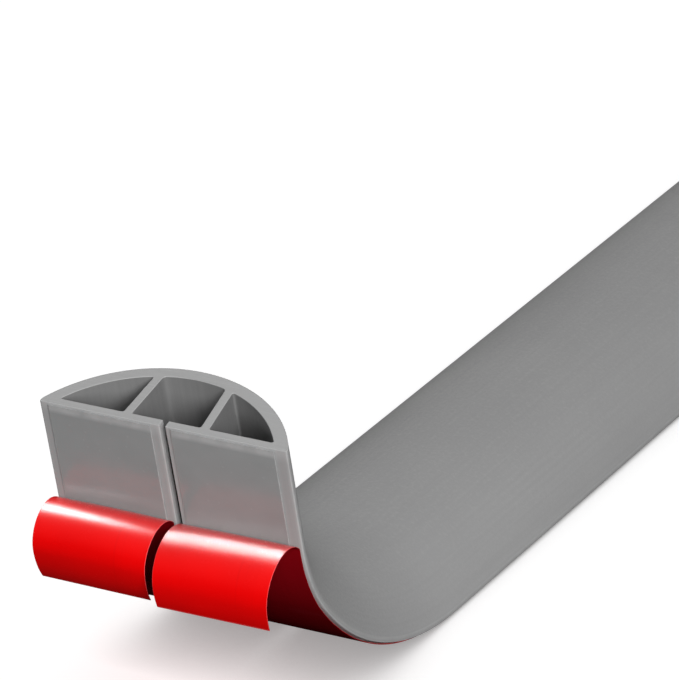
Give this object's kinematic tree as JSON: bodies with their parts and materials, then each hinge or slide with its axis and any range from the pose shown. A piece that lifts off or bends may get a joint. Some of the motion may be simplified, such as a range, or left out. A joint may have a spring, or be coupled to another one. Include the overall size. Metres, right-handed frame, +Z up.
{
  "type": "floor cord cover",
  "caption": "Low domed strip of soft grey PVC that covers cords on a floor, slit along its flat base, with adhesive tape and red release liners peeled back at the lifted end.",
  "frame": {"origin": "bottom centre of the whole part's box, on the floor that the strip lies on", "axes": "+Y along the lying strip from the lifted end to the far end, +X across it, +Z up"},
  "size_m": [0.06, 0.9692, 0.0787],
  "materials": {
    "grey_pvc": "satin",
    "tape": "satin",
    "red_liner": "gloss"
  },
  "bodies": {
    "root": {"cover_profile": "grey_pvc", "tape_left": "tape", "tape_right": "tape", "liner_left": "red_liner", "liner_right": "red_liner"}
  },
  "joints": []
}
